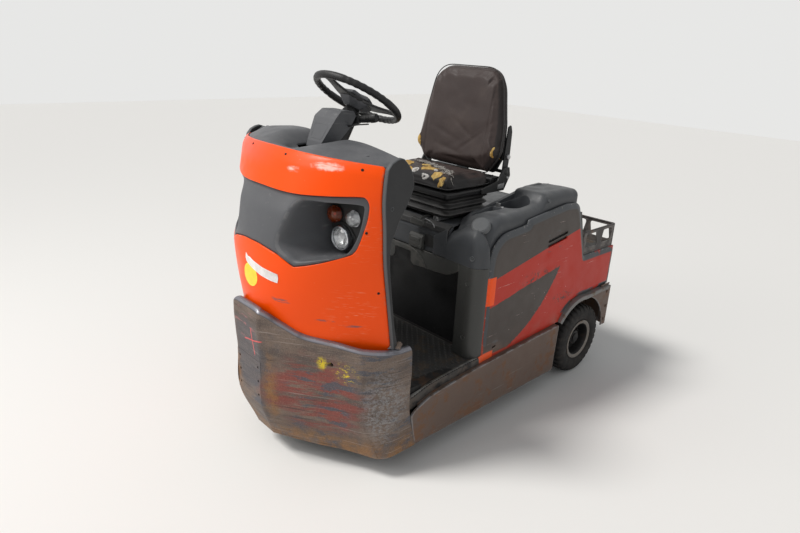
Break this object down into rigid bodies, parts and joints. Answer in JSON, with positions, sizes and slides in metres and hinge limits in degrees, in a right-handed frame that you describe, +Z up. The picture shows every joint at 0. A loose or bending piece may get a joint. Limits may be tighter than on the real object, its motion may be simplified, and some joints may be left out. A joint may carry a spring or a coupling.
{
  "type": "airport baggage tug",
  "caption": "Seated electric tow tractor for airport baggage carts: curved steel front bumper, lift-up battery hood with the seat, rear load deck and tow jaw.",
  "frame": {"origin": "on the ground under the middle of the tug's box", "axes": "+Z up, the front faces -Y, the driver's left side is +X"},
  "size_m": [0.996, 2.04, 1.578],
  "materials": {
    "frame_steel": "worn matt",
    "tread_plate": "worn, punched",
    "sill_steel": "rusty",
    "bumper_steel": "scratched",
    "cowl_plastic": "weathered gloss",
    "grey_plastic": "grained",
    "lamp_housing": "satin",
    "lamp_lens": "clear",
    "amber_lens": "amber",
    "red_lens": "red",
    "black_plastic": "matt",
    "grey_paint": "satin",
    "battery_block": "matt",
    "panel_paint": "weathered satin",
    "axle_iron": "oily",
    "hitch_iron": "painted black",
    "pin_steel": "worn",
    "hood_plastic": "grained",
    "rail_steel": "zinc",
    "black_rubber": "matt",
    "seat_vinyl": "worn",
    "rim_steel": "dusty",
    "tyre": "dusty"
  },
  "bodies": {
    "tug": {"chassis": "frame_steel", "floor_plate": "tread_plate", "sill_left": "sill_steel", "sill_right": "sill_steel", "front_bumper": "bumper_steel", "coupling_plate": "bumper_steel", "front_deck": "frame_steel", "front_cowl": "cowl_plastic", "lamp_mask": "grey_plastic", "lamp_holders": "lamp_housing", "headlamps": "lamp_lens", "indicator_lamps": "amber_lens", "position_lamps": "lamp_lens", "cowl_cheeks": "grey_plastic", "leg_shield": "black_plastic", "dash_cover": "grey_plastic", "binnacle": "grey_plastic", "column_cover": "black_plastic", "control_stalk": "black_plastic", "pedals": "black_plastic", "portal": "grey_paint", "battery": "battery_block", "side_panel_left": "panel_paint", "side_panel_right": "panel_paint", "bulkhead": "grey_paint", "deck_plate": "tread_plate", "rear_frame": "sill_steel", "tail_lamps": "red_lens", "basket": "sill_steel", "rear_axle": "axle_iron", "tow_hitch": "hitch_iron"},
    "tow_pin": {"tow_pin": "pin_steel"},
    "hood": {"battery_hood": "hood_plastic", "seat_rails": "rail_steel"},
    "seat": {"seat_bellows": "black_rubber", "seat_pan": "black_plastic", "seat_cushion": "seat_vinyl"},
    "backrest": {"backrest_shell": "black_plastic", "backrest_cushion": "seat_vinyl"},
    "steering": {"steering_wheel": "black_plastic", "steering_hub": "grey_plastic"},
    "fork": {"fork": "axle_iron"},
    "front_wheel": {"rim_front": "rim_steel", "tyre_front": "tyre"},
    "rear_wheel_left": {"rim_left": "rim_steel", "tyre_left": "tyre"},
    "rear_wheel_right": {"rim_right": "rim_steel", "tyre_right": "tyre"}
  },
  "joints": [
    {"name": "steer", "type": "hinge", "parent": "tug", "child": "fork", "pos_m": [0, -0.68, 0.45], "axis": [0, 0, 1], "range_deg": [-75, 75]},
    {"name": "front_wheel_spin", "type": "hinge", "parent": "fork", "child": "front_wheel", "pos_m": [0, -0.68, 0.191], "axis": [1, 0, 0], "continuous": true},
    {"name": "steering_wheel_turn", "type": "hinge", "parent": "tug", "child": "steering", "pos_m": [0, -0.48, 1.442], "axis": [0, 0.515, 0.8572], "range_deg": [-420, 420]},
    {"name": "rear_left_wheel_spin", "type": "hinge", "parent": "tug", "child": "rear_wheel_left", "pos_m": [0.436, 0.705, 0.191], "axis": [1, 0, 0], "continuous": true},
    {"name": "rear_right_wheel_spin", "type": "hinge", "parent": "tug", "child": "rear_wheel_right", "pos_m": [-0.436, 0.705, 0.191], "axis": [1, 0, 0], "continuous": true},
    {"name": "hood_lift", "type": "hinge", "parent": "tug", "child": "hood", "pos_m": [0, 0.587, 0.93], "axis": [-1, 0, 0], "range_deg": [0, 50]},
    {"name": "seat_slide", "type": "slide", "parent": "hood", "child": "seat", "axis": [0, 1, 0], "range_m": [-0.06, 0.06]},
    {"name": "backrest_recline", "type": "hinge", "parent": "seat", "child": "backrest", "pos_m": [0, 0.205, 1.118], "axis": [-1, 0, 0], "range_deg": [0, 20]},
    {"name": "tow_pin_lift", "type": "slide", "parent": "tug", "child": "tow_pin", "axis": [0, 0, 1], "range_m": [0, 0.085]}
  ],
  "couplings": [
    {"joint": "steering_wheel_turn", "follows": "steer", "ratio": 5.5}
  ]
}
